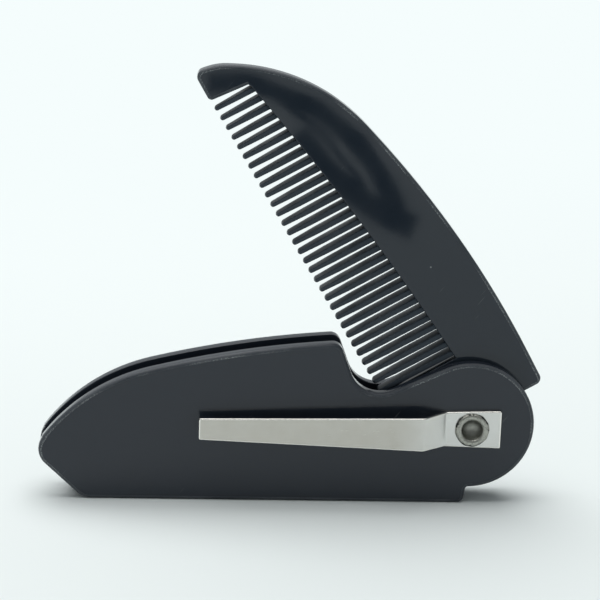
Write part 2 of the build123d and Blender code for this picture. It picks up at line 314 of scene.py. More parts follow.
def plate(rounds, low, high):
    """A flat plate with a bore at the pivot, cut to a belt's outline, from one height to another."""
    bm = bmesh.new()
    belt(bm, rounds)
    bmesh.ops.create_circle(bm, cap_ends=False, radius=BORE_RADIUS, segments=BORE_STEPS)
    bmesh.ops.bisect_plane(
        bm, geom=[*bm.verts, *bm.edges], dist=BELT_WELD, plane_co=(0.0, 0.0, 0.0),
        plane_no=(1.0, 0.0, 0.0),
    )
    # Two seams above and below the bore make a face of each half
    halves = [[edge for edge in bm.edges if side * middle(edge).x > 0.0] for side in (1.0, -1.0)]
    crossing = [vert for vert in bm.verts if abs(vert.co.x) < BELT_WELD]
    crossing.sort(key=lambda vert: vert.co.y)
    seams = [bm.edges.new(crossing[:2]), bm.edges.new(crossing[2:])]
    for half in halves:
        bmesh.ops.edgenet_fill(bm, edges=[*half, *seams])
    grown = bmesh.ops.extrude_face_region(bm, geom=bm.faces[:])["geom"]
    raised = [part for part in grown if isinstance(part, bmesh.types.BMVert)]
    bmesh.ops.translate(bm, verts=raised, vec=(0.0, 0.0, high - low))
    bmesh.ops.translate(bm, verts=bm.verts[:], vec=(0.0, 0.0, low))
    bmesh.ops.recalc_face_normals(bm, faces=bm.faces[:])
    return bm


def rim_edges(bm, height, test):
    """Edges round a flat face at a height, apart from the bore's, that pass a test of their middle."""
    found = []
    for edge in bm.edges:
        level = all(abs(vert.co.z - height) < WELD for vert in edge.verts)
        flat = [face for face in edge.link_faces if abs(face.normal.z) > FACING]
        spot = middle(edge)
        clear = spot.xy.length > BORE_RADIUS + BORE_MARGIN
        if level and clear and len(flat) == 1 and test(spot):
            found.append(edge)
    return found


def round_edges(bm, edges, size, segments):
    """Round edges off and return the new faces."""
    rounded = bmesh.ops.bevel(
        bm, geom=edges, offset=size, offset_type="OFFSET", segments=segments, profile=0.5,
        affect="EDGES", material=-1, clamp_overlap=False,
    )
    return rounded["faces"]


def make_object(bm, name, materials):
    """Turn a drawing into an object of the scene."""
    mesh = bpy.data.meshes.new(name)
    bm.to_mesh(mesh)
    bm.free()
    for material in materials:
        mesh.materials.append(material)
    made = bpy.data.objects.new(name, mesh)
    bpy.context.scene.collection.objects.link(made)
    return made


def finish_piece(bm, name, placing, body, materials, node):
    """Turn a drawing in millimetres into a piece in its place, riding on a body for a CAD node."""
    bmesh.ops.transform(bm, matrix=placing @ Matrix.Scale(MM, 4), verts=bm.verts[:])
    bmesh.ops.recalc_face_normals(bm, faces=bm.faces[:])
    for face in bm.faces:
        face.smooth = True
    piece = make_object(bm, name, materials)
    weights = piece.modifiers.new("Flat faces stay flat", "WEIGHTED_NORMAL")
    weights.keep_sharp = True
    weights.weight = 100  # the largest face at a corner decides its normal
    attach(piece, body)
    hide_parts(node)


# From (right, up, towards the front), and from the comb's (along, up, through), to the frame
SIDE_VIEW = Matrix.Translation(PIVOT) @ Matrix((
    (1.0, 0.0, 0.0, 0.0), (0.0, 0.0, -1.0, 0.0), (0.0, 1.0, 0.0, 0.0), (0.0, 0.0, 0.0, 1.0),
))
COMB_VIEW = Matrix.Translation(PIVOT) @ Matrix((
    (cos(REST_AXIS), sin(REST_AXIS), 0.0, 0.0),
    (0.0, 0.0, 1.0, 0.0),
    (sin(REST_AXIS), -cos(REST_AXIS), 0.0, 0.0),
    (0.0, 0.0, 0.0, 1.0),
))


def pattern(size):
    """Scale of a pattern whose features are a size in millimetres."""
    return 1 / (size * MM)


def add(tree, kind, options=None, inputs=None):
    """Add a node with its options; an input is linked where it is a socket, and set otherwise."""
    node = tree.nodes.new(kind)
    for name, value in (options or {}).items():
        setattr(node, name, value)
    for name, value in (inputs or {}).items():
        if isinstance(value, bpy.types.NodeSocket):
            tree.links.new(value, node.inputs[name])
        else:
            node.inputs[name].default_value = value
    return node


def new_material(name):
    """A material with an empty node tree."""
    material = bpy.data.materials.new(name)
    material.use_nodes = True
    material.node_tree.nodes.clear()
    return material, material.node_tree


def moulded_abs(name, base, roughness, specular=0.5):
    """Black ABS from a polished mould: deep gloss, a little uneven, with dust and hairline scuffs."""
    material, tree = new_material(name)
    place = add(tree, "ShaderNodeTexCoord").outputs["Object"]
    # Uneven skin: soft swells some 12 mm across, as thick mouldings get as they cool
    swell = add(tree, "ShaderNodeTexNoise", inputs={
        "Vector": place, "Scale": pattern(12.0), "Detail": 1.0,
    })
    # Fine grain of the mould's polish, 0.5 mm across, coarser than the real one so that it shows
    grain = add(tree, "ShaderNodeTexNoise", inputs={
        "Vector": place, "Scale": pattern(0.5), "Detail": 2.0,
    })
    swell_bump = add(tree, "ShaderNodeBump", inputs={
        "Strength": 0.25, "Distance": 0.2 * MM, "Height": swell.outputs["Fac"],
    })
    grain_bump = add(tree, "ShaderNodeBump", inputs={
        "Strength": 0.08, "Distance": 0.02 * MM, "Height": grain.outputs["Fac"],
        "Normal": swell_bump.outputs["Normal"],
    })
    # Handling dulls the gloss in patches some 6 mm across
    patch = add(tree, "ShaderNodeTexNoise", inputs={
        "Vector": place, "Scale": pattern(6.0), "Detail": 3.0,
    })
    gloss = add(tree, "ShaderNodeMapRange", inputs={
        "Value": patch.outputs["Fac"], "From Min": 0.3, "From Max": 0.7,
        "To Min": 0.75 * roughness, "To Max": 1.4 * roughness,
    })
    # Dust specks about 0.3 mm across, in some of the cells of a 6 mm pattern
    dust = add(tree, "ShaderNodeTexVoronoi", {"feature": "F1"}, {"Vector": place, "Scale": pattern(6.0)})
    speck = add(tree, "ShaderNodeMapRange", inputs={
        "Value": dust.outputs["Distance"], "From Min": 0.02, "From Max": 0.035,
        "To Min": 0.6, "To Max": 0.0,
    })
    rare = add(tree, "ShaderNodeMath", {"operation": "GREATER_THAN"}, {
        0: dust.outputs["Color"], 1: 0.6,
    })
    specks = add(tree, "ShaderNodeMath", {"operation": "MULTIPLY"}, {
        0: speck.outputs["Result"], 1: rare.outputs["Value"],
    })
    # Hairline scuffs on a slant, 0.1 mm wide and a few millimetres long
    slant = add(tree, "ShaderNodeMapping", {"vector_type": "TEXTURE"}, {
        "Vector": place, "Rotation": (0.0, radians(-52.0), 0.0), "Scale": (16.0, 4.0, 1.0),
    })
    hairs = add(tree, "ShaderNodeTexNoise", inputs={
        "Vector": slant.outputs["Vector"], "Scale": pattern(0.4), "Detail": 0.0,
    })
    scuffs = add(tree, "ShaderNodeMapRange", inputs={
        "Value": hairs.outputs["Fac"], "From Min": 0.84, "From Max": 0.89, "To Max": 0.2,
    })
    marks = add(tree, "ShaderNodeMath", {"operation": "MAXIMUM"}, {
        0: specks.outputs["Value"], 1: scuffs.outputs["Result"],
    })
    skin = add(tree, "ShaderNodeMix", {"data_type": "RGBA"}, {
        "Factor": marks.outputs["Value"], COLOUR_A: (*base, 1.0),
        COLOUR_B: (*linear("#9AA0A2"), 1.0),
    })
    surface = add(tree, "ShaderNodeBsdfPrincipled", inputs={
        "Base Color": skin.outputs[COLOUR_OUT], "Roughness": gloss.outputs["Result"], "IOR": 1.45,
        "Specular IOR Level": specular, "Normal": grain_bump.outputs["Normal"],
    })
    add(tree, "ShaderNodeOutputMaterial", inputs={"Surface": surface.outputs["BSDF"]})
    return material


def rubbed_abs_painted_sheen(name, base, half):
    """Black ABS gone satin grey on its rims, from deflashing and pockets and from painted sheen, with a
    pale broken edge of nicks and painted highlight.
    """
    material, tree = new_material(name)
    place = add(tree, "ShaderNodeTexCoord").outputs["Object"]
    # Fine rub marks 0.25 mm across, greyer where they are dense; the grey is wear and painted sheen
    rubs = add(tree, "ShaderNodeTexNoise", inputs={
        "Vector": place, "Scale": pattern(0.25), "Detail": 3.0,
    })
    # Wear comes and goes along the rim, every 8 mm or so
    drift = add(tree, "ShaderNodeTexNoise", inputs={
        "Vector": place, "Scale": pattern(8.0), "Detail": 1.0,
    })
    satin = add(tree, "ShaderNodeMapRange", inputs={
        "Value": drift.outputs["Fac"], "From Min": 0.35, "From Max": 0.65,
        "To Min": 0.08, "To Max": 0.22,
    })
    grey = add(tree, "ShaderNodeMath", {"operation": "MULTIPLY"}, {
        0: rubs.outputs["Fac"], 1: satin.outputs["Result"],
    })
    # Pale nicks and painted highlight in the first 0.06 mm below the flat faces, a line 0.3 mm wide on
    # the round rim
    depth = add(tree, "ShaderNodeSeparateXYZ", inputs={"Vector": place})
    from_middle = add(tree, "ShaderNodeMath", {"operation": "ABSOLUTE"}, {0: depth.outputs["Y"]})
    turning = add(tree, "ShaderNodeMath", {"operation": "COMPARE"}, {
        0: from_middle.outputs["Value"], 1: (half - 0.03) * MM, 2: 0.03 * MM,
    })
    broken = add(tree, "ShaderNodeMapRange", inputs={
        "Value": rubs.outputs["Fac"], "From Min": 0.45, "From Max": 0.6, "To Max": 0.7,
    })
    wear_and_low_shade = add(tree, "ShaderNodeMapRange", inputs={
        "Value": drift.outputs["Fac"], "From Min": 0.42, "From Max": 0.62,
    })
    # Painted shade: the lowest few millimetres, on which the handle stands, keep their black, where the
    # rim mirrors the dark floor beside it
    above = add(tree, "ShaderNodeMapRange", inputs={
        "Value": depth.outputs["Z"], "From Min": 2 * MM, "From Max": 6 * MM,
    })
    wear_and_low_shade = add(tree, "ShaderNodeMath", {"operation": "MULTIPLY"}, {
        0: wear_and_low_shade.outputs["Result"], 1: above.outputs["Result"],
    })
    nicks = add(tree, "ShaderNodeMath", {"operation": "MULTIPLY"}, {
        0: turning.outputs["Value"], 1: broken.outputs["Result"],
    })
    nicks = add(tree, "ShaderNodeMath", {"operation": "MULTIPLY"}, {
        0: nicks.outputs["Value"], 1: wear_and_low_shade.outputs["Value"],
    })
    pale = add(tree, "ShaderNodeMath", {"operation": "MAXIMUM"}, {
        0: grey.outputs["Value"], 1: nicks.outputs["Value"],
    })
    # Wear and painted sheen grey the rim; nicks and painted highlight pale its edge
    skin = add(tree, "ShaderNodeMix", {"data_type": "RGBA"}, {
        "Factor": pale.outputs["Value"], COLOUR_A: (*base, 1.0),
        COLOUR_B: (*linear("#A4A9AA"), 1.0),
    })
    bump = add(tree, "ShaderNodeBump", inputs={
        "Strength": 0.3, "Distance": 0.03 * MM, "Height": rubs.outputs["Fac"],
    })
    gloss = add(tree, "ShaderNodeMapRange", inputs={
        "Value": rubs.outputs["Fac"], "From Min": 0.3, "From Max": 0.7,
        "To Min": 0.5, "To Max": 0.65,
    })
    surface = add(tree, "ShaderNodeBsdfPrincipled", inputs={
        "Base Color": skin.outputs[COLOUR_OUT], "Roughness": gloss.outputs["Result"], "IOR": 1.45,
        "Normal": bump.outputs["Normal"],
    })
    add(tree, "ShaderNodeOutputMaterial", inputs={"Surface": surface.outputs["BSDF"]})
    return material


def plated_steel(name, strip_tint, pad_tint, roughness):
    """Nickel-plated steel, satin from tumbling: pale, soft reflections with fine drawn lines."""
    material, tree = new_material(name)
    place = add(tree, "ShaderNodeTexCoord").outputs["Object"]
    # Drawn lines 0.15 mm apart and 20 times as long, coarser than the real ones so that they show
    drawn = add(tree, "ShaderNodeMapping", inputs={"Vector": place, "Scale": (0.05, 1.0, 1.0)})
    lines = add(tree, "ShaderNodeTexNoise", inputs={
        "Vector": drawn.outputs["Vector"], "Scale": pattern(0.15), "Detail": 2.0,
    })
    bump = add(tree, "ShaderNodeBump", inputs={
        "Strength": 0.12, "Distance": 0.02 * MM, "Height": lines.outputs["Fac"],
    })
    cloud = add(tree, "ShaderNodeTexNoise", inputs={
        "Vector": place, "Scale": pattern(3.0), "Detail": 3.0,
    })
    # The free strip is darker and the pad under the rivet paler, in a ramp along the strip towards the
    # pivot
    along = add(tree, "ShaderNodeSeparateXYZ", inputs={"Vector": place})
    pad_share = add(tree, "ShaderNodeMapRange", inputs={
        "Value": along.outputs["X"], "From Min": PIVOT.x - 16 * MM, "From Max": PIVOT.x - 6 * MM,
        "To Min": 0.0, "To Max": 0.8,
    })
    shade = add(tree, "ShaderNodeMath", {"operation": "MULTIPLY_ADD"}, {
        0: cloud.outputs["Fac"], 1: 0.35, 2: pad_share.outputs["Result"],
    })
    tint = add(tree, "ShaderNodeMix", {"data_type": "RGBA"}, {
        "Factor": shade.outputs["Value"], COLOUR_A: (*strip_tint, 1.0), COLOUR_B: (*pad_tint, 1.0),
    })
    gloss = add(tree, "ShaderNodeMapRange", inputs={
        "Value": lines.outputs["Fac"], "From Min": 0.2, "From Max": 0.8,
        "To Min": roughness - 0.06, "To Max": roughness + 0.08,
    })
    surface = add(tree, "ShaderNodeBsdfPrincipled", inputs={
        "Base Color": tint.outputs[COLOUR_OUT], "Metallic": 1.0,
        "Roughness": gloss.outputs["Result"], "Normal": bump.outputs["Normal"],
    })
    add(tree, "ShaderNodeOutputMaterial", inputs={"Surface": surface.outputs["BSDF"]})
    return material


def hammered_steel(name, base, seat):
    """Nickel-plated steel after riveting: pitted and torn at its rim, with painted shade under the
    roll's edge and, with grime, in its hole.
    """
    material, tree = new_material(name)
    place = add(tree, "ShaderNodeTexCoord").outputs["Object"]
    from_axis = add(tree, "ShaderNodeVectorMath", {"operation": "SUBTRACT"}, {0: place, 1: PIVOT})
    level = add(tree, "ShaderNodeVectorMath", {"operation": "MULTIPLY"}, {
        0: from_axis.outputs["Vector"], 1: (1.0, 0.0, 1.0),
    })
    radius = add(tree, "ShaderNodeVectorMath", {"operation": "LENGTH"}, {0: level.outputs["Vector"]})
    # Pits 0.2 mm across from the riveting tool
    pits = add(tree, "ShaderNodeTexNoise", inputs={
        "Vector": place, "Scale": pattern(0.2), "Detail": 3.0,
    })
    # Tears and trapped dirt 1 mm long, with painted shade under the roll's edge, only at the rolled
    # rim's outer edge, not on the rear head
    tears = add(tree, "ShaderNodeTexNoise", inputs={
        "Vector": place, "Scale": pattern(1.0), "Detail": 2.0,
    })
    depth = add(tree, "ShaderNodeSeparateXYZ", inputs={"Vector": place})
    front = add(tree, "ShaderNodeMath", {"operation": "LESS_THAN"}, {0: depth.outputs["Y"], 1: 0.0})
    # Painted shade under the roll's edge: the dark marks grow towards it
    rim = add(tree, "ShaderNodeMapRange", inputs={
        "Value": radius.outputs["Value"],
        "From Min": (ROLL_RADIUS - 0.5) * MM, "From Max": (ROLL_RADIUS - 0.1) * MM,
        "To Min": 0.0, "To Max": 0.32,
    })
    rim = add(tree, "ShaderNodeMath", {"operation": "MULTIPLY"}, {
        0: rim.outputs["Result"], 1: front.outputs["Value"],
    })
    torn = add(tree, "ShaderNodeMath", {"operation": "ADD"}, {
        0: tears.outputs["Fac"], 1: rim.outputs["Value"],
    })
    pitted = add(tree, "ShaderNodeMapRange", inputs={
        "Value": pits.outputs["Fac"], "From Min": 0.5, "From Max": 0.7, "To Max": 0.55,
    })
    ragged_and_shaded = add(tree, "ShaderNodeMapRange", inputs={
        "Value": torn.outputs["Value"], "From Min": 0.78, "From Max": 0.84, "To Max": 0.95,
    })
    # Painted shade, with a film of grime, on all that lies deeper than the clip's face, so in the hole
    # and at the back
    inside = add(tree, "ShaderNodeMapRange", inputs={
        "Value": depth.outputs["Y"], "From Min": -(seat + 0.3) * MM, "From Max": -seat * MM,
        "To Max": 0.3,
    })
    worst = add(tree, "ShaderNodeMath", {"operation": "MAXIMUM"}, {
        0: pitted.outputs["Result"], 1: ragged_and_shaded.outputs["Result"],
    })
    dark = add(tree, "ShaderNodeMath", {"operation": "MAXIMUM"}, {
        0: worst.outputs["Value"], 1: inside.outputs["Result"],
    })
    tint = add(tree, "ShaderNodeMix", {"data_type": "RGBA"}, {
        "Factor": dark.outputs["Value"], COLOUR_A: (*base, 1.0),
        COLOUR_B: (*linear("#2E302F"), 1.0),
    })
    gloss = add(tree, "ShaderNodeMapRange", inputs={
        "Value": pits.outputs["Fac"], "From Min": 0.3, "From Max": 0.7,
        "To Min": 0.28, "To Max": 0.5,
    })
    bump = add(tree, "ShaderNodeBump", inputs={
        "Strength": 0.6, "Distance": 0.06 * MM, "Height": pits.outputs["Fac"],
    })
    surface = add(tree, "ShaderNodeBsdfPrincipled", inputs={
        "Base Color": tint.outputs[COLOUR_OUT], "Metallic": 1.0,
        "Roughness": gloss.outputs["Result"], "Normal": bump.outputs["Normal"],
    })
    add(tree, "ShaderNodeOutputMaterial", inputs={"Surface": surface.outputs["BSDF"]})
    return material


class BEARDCOMB_OT_handle(bpy.types.Operator):
    """Model the handle: two cheeks with a slot between them, joined along the bottom"""

    bl_idname = "beardcomb.handle"
    bl_label = "Handle"

    def execute(self, context):
        settings = context.scene.beardcomb_handle
        bm = plate(HANDLE_BELT, SLOT_HALF, HANDLE_HALF)
        # The cheek's inner face is parted at the spine's top, and below it runs in to the middle
        inner = [face for face in bm.faces if face.normal.z < -FACING]
        around = {part for face in inner for part in (*face.edges, *face.verts)}
        bmesh.ops.bisect_plane(
            bm, geom=[*inner, *around], dist=WELD, plane_co=(0.0, WEB_TOP, 0.0),
            plane_no=(0.0, 1.0, 0.0),
        )
        below = [
            face for face in bm.faces
            if face.normal.z < -FACING and face.calc_center_median().y < WEB_TOP
        ]
        grown = bmesh.ops.extrude_face_region(bm, geom=below)["geom"]
        bmesh.ops.delete(bm, geom=[face for face in below if face.is_valid], context="FACES")
        reached = [part for part in grown if isinstance(part, bmesh.types.BMVert)]
        bmesh.ops.translate(bm, verts=reached, vec=(0.0, 0.0, -SLOT_HALF))
        # The half stays open at the middle, where the mirrored half joins it
        cut = [part for part in grown if isinstance(part, bmesh.types.BMFace)]
        bmesh.ops.delete(bm, geom=cut, context="FACES")
        slot_rims = rim_edges(bm, SLOT_HALF, lambda spot: spot.y > WEB_TOP + WELD)
        outer_rims = rim_edges(bm, HANDLE_HALF, lambda spot: True)
        round_edges(bm, slot_rims, settings.slot_rim / MM, FINE_STEPS)
        outer_rims = [edge for edge in outer_rims if edge.is_valid]
        for face in round_edges(bm, outer_rims, settings.rim / MM, RIM_STEPS):
            face.material_index = RUBBED
        bmesh.ops.mirror(bm, geom=[*bm.verts, *bm.edges, *bm.faces], merge_dist=WELD, axis="Z")
        plastics = (
            moulded_abs("Handle ABS, glossy moulded", settings.plastic, 0.12),
            rubbed_abs_painted_sheen("Handle ABS, rubbed rim, painted sheen", settings.plastic, HANDLE_HALF),
        )
        finish_piece(
            bm, "handle_moulding", SIDE_VIEW, "handle", plastics, "handle"
        )
        return {"FINISHED"}


def tooth_share(along):
    """Share of the way along the row of teeth, from the hub to the tip."""
    return (along - LAST_GAP) / (FIRST_GAP - LAST_GAP)


def root_up(along):
    """Height of the bowed line of roots above the comb's axis."""
    share = tooth_share(along)
    return ROOTS_NEAR + (ROOTS_FAR - ROOTS_NEAR) * share + 4 * share * (1 - share) * ROOTS_BOW


def tip_up(along):
    """Height of the line of tips above the comb's axis."""
    return TIPS_NEAR + (TIPS_FAR - TIPS_NEAR) * tooth_share(along)


def roots_circle():
    """Circle under the bowed line of roots, as a hollow of the blade's belt."""
    near, far = Vector((LAST_GAP, ROOTS_NEAR)), Vector((FIRST_GAP, ROOTS_FAR))
    chord = far - near
    radius = chord.length**2 / (8 * ROOTS_BOW) + ROOTS_BOW / 2
    down = Vector((chord.y, -chord.x)).normalized()
    centre = (near + far) / 2 + (radius - ROOTS_BOW) * down
    return (centre.x, centre.y, -radius)


def add_tooth(bm, along, settings):
    """One tooth: a drafted bar, widest at the mould's parting line, thinning to a rounded tip."""
    width, ridge = settings.tooth_width / MM / 2, settings.ridge_width / MM / 2
    depth = settings.tooth_thickness / MM / 2
    seat = root_up(along) + TOOTH_SEAT
    end = tip_up(along)
    section = bmesh.ops.create_circle(bm, cap_ends=True, radius=1.0, segments=6)["verts"]
    # A hexagon's four slanted corners go to the tooth's front and back, the other two to its ridges
    corners = []
    for vert in section:
        across, through = vert.co.y, vert.co.x
        if abs(through) > HALF_WAY:
            corners.append(vert)
            vert.co.x, vert.co.y = copysign(width, across), copysign(depth, through)
        else:
            vert.co.x, vert.co.y = copysign(ridge, across), 0.0
    rounded = bmesh.ops.bevel(
        bm, geom=corners, offset=settings.tooth_round / MM, offset_type="OFFSET",
        segments=TOOTH_STEPS, profile=0.5, affect="VERTICES", material=-1, clamp_overlap=False,
    )
    face = rounded["verts"][0].link_faces[0]
    bmesh.ops.rotate(bm, verts=face.verts[:], matrix=Matrix.Rotation(pi / 2, 3, "X"))
    bmesh.ops.translate(bm, verts=face.verts[:], vec=(along, seat, 0.0))
    slim = settings.tip_width / settings.tooth_width
    thin = settings.tip_thickness / settings.tooth_thickness
    lean = settings.middle_width / settings.tooth_width
    rings = [(end + TAPER_LENGTH, lean, 1.0), (end + TIP_LENGTH, slim, thin)]
    for turn in TIP_TURNS:
        left = cos(radians(turn))
        rings.append((end + TIP_LENGTH * (1.0 - sin(radians(turn))), slim * left, thin * left))
    height, last_slim, last_thin = seat, 1.0, 1.0
    for ring_height, ring_slim, ring_thin in rings:
        grown = bmesh.ops.extrude_face_region(bm, geom=[face])["geom"]
        if height != seat:
            # The ring before has become an inner wall
            bmesh.ops.delete(bm, geom=[face], context="FACES")
        face = next(part for part in grown if isinstance(part, bmesh.types.BMFace))
        bmesh.ops.translate(bm, verts=face.verts[:], vec=(0.0, ring_height - height, 0.0))
        bmesh.ops.scale(
            bm, verts=face.verts[:], space=Matrix.Translation((-along, 0.0, 0.0)),
            vec=(ring_slim / last_slim, 1.0, ring_thin / last_thin),
        )
        height, last_slim, last_thin = ring_height, ring_slim, ring_thin


class BEARDCOMB_OT_comb(bpy.types.Operator):
    """Model the comb: the blade with its hub, heel and guards, and the row of teeth"""

    bl_idname = "beardcomb.comb"
    bl_label = "Comb"

    def execute(self, context):
        settings = context.scene.beardcomb_comb
        hub_edge = HUB_GUARD_BELT[-1][0] + HUB_GUARD_BELT[-1][2]
        root_corner = (hub_edge, root_up(hub_edge), 0.0)
        rounds = (
            (0.0, 0.0, HUB_RADIUS), *HUB_GUARD_BELT, root_corner, roots_circle(),
            *TIP_GUARD_BELT, *BACK_BELT, HEEL_FOOT,
        )
        bm = plate(rounds, -COMB_HALF, COMB_HALF)

        def on_roots(spot):
            beside = hub_edge - HUB_GUARD_WIDTH < spot.x < FIRST_GAP
            return beside and spot.y < root_up(spot.x) + ROOTS_MARGIN

        def on_back(spot):
            return not on_roots(spot)

        back = rim_edges(bm, -COMB_HALF, on_back) + rim_edges(bm, COMB_HALF, on_back)
        for face in round_edges(bm, back, settings.rim / MM, RIM_STEPS):
            face.material_index = RUBBED
        roots = rim_edges(bm, -COMB_HALF, on_roots) + rim_edges(bm, COMB_HALF, on_roots)
        round_edges(bm, roots, settings.root_rim / MM, FINE_STEPS)
        blade = set(bm.faces)
        pitch = (FIRST_GAP - LAST_GAP) / TOOTH_COUNT
        for number in range(TOOTH_COUNT):
            add_tooth(bm, FIRST_GAP - (number + 0.5) * pitch, settings)
        for face in set(bm.faces) - blade:
            face.material_index = SATIN
        plastics = (
            moulded_abs("Comb ABS, glossy moulded", settings.plastic, 0.07),
            rubbed_abs_painted_sheen("Comb ABS, rubbed rim, painted sheen", settings.plastic, COMB_HALF),
            # The teeth's paler plastic is painted sheen
            moulded_abs("Comb ABS, satin teeth, painted sheen", settings.tooth_plastic_with_sheen, 0.35, 0.22),
        )
        finish_piece(bm, "comb_moulding", COMB_VIEW, "comb", plastics, "comb")
        return {"FINISHED"}


def bend(bm, start, turn, inside, thickness):
    """Bend the strip's free run on a roller, towards the front or, with a negative turn, away."""
    neutral = abs(turn) * (inside + thickness / 2)
    level = thickness + inside if turn > 0 else -inside
    for step in range(BEND_STEPS + 1):
        bmesh.ops.bisect_plane(
            bm, geom=[*bm.verts, *bm.edges, *bm.faces], dist=WELD,
            plane_co=(start - neutral * step / BEND_STEPS, 0.0, 0.0), plane_no=(1.0, 0.0, 0.0),
        )
    for vert in bm.verts:
        reach = start - vert.co.x
        if reach > WELD:
            angle = turn * min(1.0, reach / neutral)
            spare = max(0.0, reach - neutral)
            arm = vert.co.z - level
            vert.co.x = start - abs(arm) * sin(abs(angle)) - spare * cos(angle)
            vert.co.z = level + arm * cos(angle) + spare * sin(angle)


class BEARDCOMB_OT_clip(bpy.types.Operator):
    """Model the pocket clip: a tapering blank of spring steel, bent twice"""

    bl_idname = "beardcomb.clip"
    bl_label = "Pocket clip"

    def execute(self, context):
        settings = context.scene.beardcomb_clip
        thickness = settings.thickness / MM
        corner = settings.corner / MM
        pad_half = PAD_WIDTH / 2 - corner
        end_half = END_WIDTH / 2 - corner
        rounds = (
            (PAD_END - corner, pad_half, corner), (corner - BLANK_LENGTH, end_half, corner),
            (corner - BLANK_LENGTH, -end_half, corner), (PAD_END - corner, -pad_half, corner),
        )
        bm = plate(rounds, 0.0, thickness)
        for face in bm.faces:
            upright = abs(face.normal.z) < HALF_WAY
            if upright and face.calc_center_median().xy.length > BORE_RADIUS:
                face.material_index = RUBBED  # the blank's sheared sides
        edges = rim_edges(bm, 0.0, lambda spot: True) + rim_edges(bm, thickness, lambda spot: True)
        for face in round_edges(bm, edges, settings.edge / MM, CUT_STEPS):
            face.material_index = RUBBED
        inside = settings.bend_radius / MM
        # The far bend comes first, while the run up to it is still flat
        bend(bm, FIRST_BEND - BEND_RUN, -settings.second_turn, inside, thickness)
        bend(bm, FIRST_BEND, settings.first_turn, inside, thickness)
        bmesh.ops.translate(bm, verts=bm.verts[:], vec=(0.0, 0.0, HANDLE_HALF))
        steels = (
            plated_steel(
                "Spring steel, nickel-plated satin", settings.steel, settings.pad_steel, 0.32
            ),
            # Burnished edges, with a painted highlight in their paler colour
            plated_steel(
                "Spring steel, burnished edge, painted highlight", settings.edge_steel_highlight, settings.edge_steel_highlight, 0.2
            ),
        )
        finish_piece(
            bm, "pocket_clip_strip", SIDE_VIEW, "handle", steels, "pocket_clip"
        )
        return {"FINISHED"}


class BEARDCOMB_OT_rivet(bpy.types.Operator):
    """Model the pivot rivet: a domed head at the back and a rolled tube at the front"""

    bl_idname = "beardcomb.rivet"
    bl_label = "Pivot rivet"

    def execute(self, context):
        settings = context.scene.beardcomb_rivet
        roll = settings.roll / MM
        seat = HANDLE_HALF + context.scene.beardcomb_clip.thickness / MM
        bm = bmesh.new()
        profile = (
            (0.0, -HEAD_DEPTH),
            *[(HEAD_RADIUS * share, fall - HEAD_DEPTH) for share, fall in HEAD_DOME],
            (HEAD_RADIUS, -HANDLE_HALF - HEAD_RIM), (HEAD_RADIUS, -HANDLE_HALF),
            (SHANK_RADIUS, -HANDLE_HALF), (SHANK_RADIUS, seat),
            (ROLL_RADIUS, seat), (ROLL_RADIUS, ROLL_TOP - roll), (ROLL_RADIUS - roll, ROLL_TOP),
            (TUBE_RADIUS + roll, ROLL_TOP), (TUBE_RADIUS, ROLL_TOP - roll),
            (TUBE_RADIUS, TUBE_FLOOR), (0.0, TUBE_FLOOR - TUBE_CONE),
        )
        tip = bm.verts.new((profile[0][0], 0.0, profile[0][1]))
        for radius, height in profile[1:]:
            tip = bmesh.ops.extrude_vert_indiv(bm, verts=[tip])["verts"][0]
            tip.co = (radius, 0.0, height)
        bmesh.ops.spin(
            bm, geom=[*bm.verts, *bm.edges], cent=(0.0, 0.0, 0.0), axis=(0.0, 0.0, 1.0),
            angle=2 * pi, steps=SPIN_STEPS, use_merge=True, use_duplicate=False,
        )
        bmesh.ops.remove_doubles(bm, verts=bm.verts[:], dist=WELD)
        # The roll spreads unevenly as the riveting tool turns it over
        for vert in bm.verts:
            if vert.co.z > seat + WELD and vert.co.xy.length > (ROLL_RADIUS + TUBE_RADIUS) / 2:
                turn = atan2(vert.co.y, vert.co.x)
                spread = 1.0 + sum(
                    share * sin(waves * turn + start) for waves, share, start in ROLL_WAVES
                )
                vert.co.xy *= spread
        steel = hammered_steel("Rivet steel, nickel-plated", settings.steel, seat)
        finish_piece(
            bm, "rolled_rivet", SIDE_VIEW, "handle", (steel,), "pivot_rivet"
        )
        return {"FINISHED"}


def camera_at_photo():
    """Camera with the photograph's direction, distance, lens and framing."""
    sin_e, cos_e = sin(CAMERA_ELEVATION), cos(CAMERA_ELEVATION)
    sin_a, cos_a = sin(CAMERA_AZIMUTH), cos(CAMERA_AZIMUTH)
    ahead = Vector((-sin_a * cos_e, cos_a * cos_e, -sin_e))
    level = Vector((cos_a, sin_a, 0.0))
    lift = level.cross(ahead)
    right = cos(CAMERA_ROLL) * level + sin(CAMERA_ROLL) * lift
    up = cos(CAMERA_ROLL) * lift - sin(CAMERA_ROLL) * level
    middle_pixel = FRAME_PIXELS / 2
    ray = (
        ahead + (PIVOT_PIXEL[0] - middle_pixel) / FOCAL_PIXELS * right
        - (PIVOT_PIXEL[1] - middle_pixel) / FOCAL_PIXELS * up
    )
    place = PIVOT - ray * CAMERA_DEPTH * MM
    data = bpy.data.cameras.new("Camera")
    data.sensor_width = SENSOR_WIDTH
    data.lens = FOCAL_PIXELS / FRAME_PIXELS * SENSOR_WIDTH
    data.clip_start, data.clip_end = CAMERA_RANGE
    camera = bpy.data.objects.new("Camera", data)
    turned = Matrix((right, up, -ahead)).transposed().to_4x4()
    camera.matrix_world = Matrix.Translation(place) @ turned
    bpy.context.scene.collection.objects.link(camera)
    bpy.context.scene.camera = camera


def softbox(power):
    """The large soft lamp overhead, a little behind the comb."""
    data = bpy.data.lights.new("Softbox", "AREA")
    data.shape = "DISK"
    data.size = LAMP_WIDTH
    data.energy = power
    lit = bpy.data.objects.new("Softbox", data)
    aim = Vector(LAMP_AIM) - Vector(LAMP_PLACE)
    turned = aim.to_track_quat("-Z", "Y").to_matrix().to_4x4()
    lit.matrix_world = Matrix.Translation(LAMP_PLACE) @ turned
    bpy.context.scene.collection.objects.link(lit)


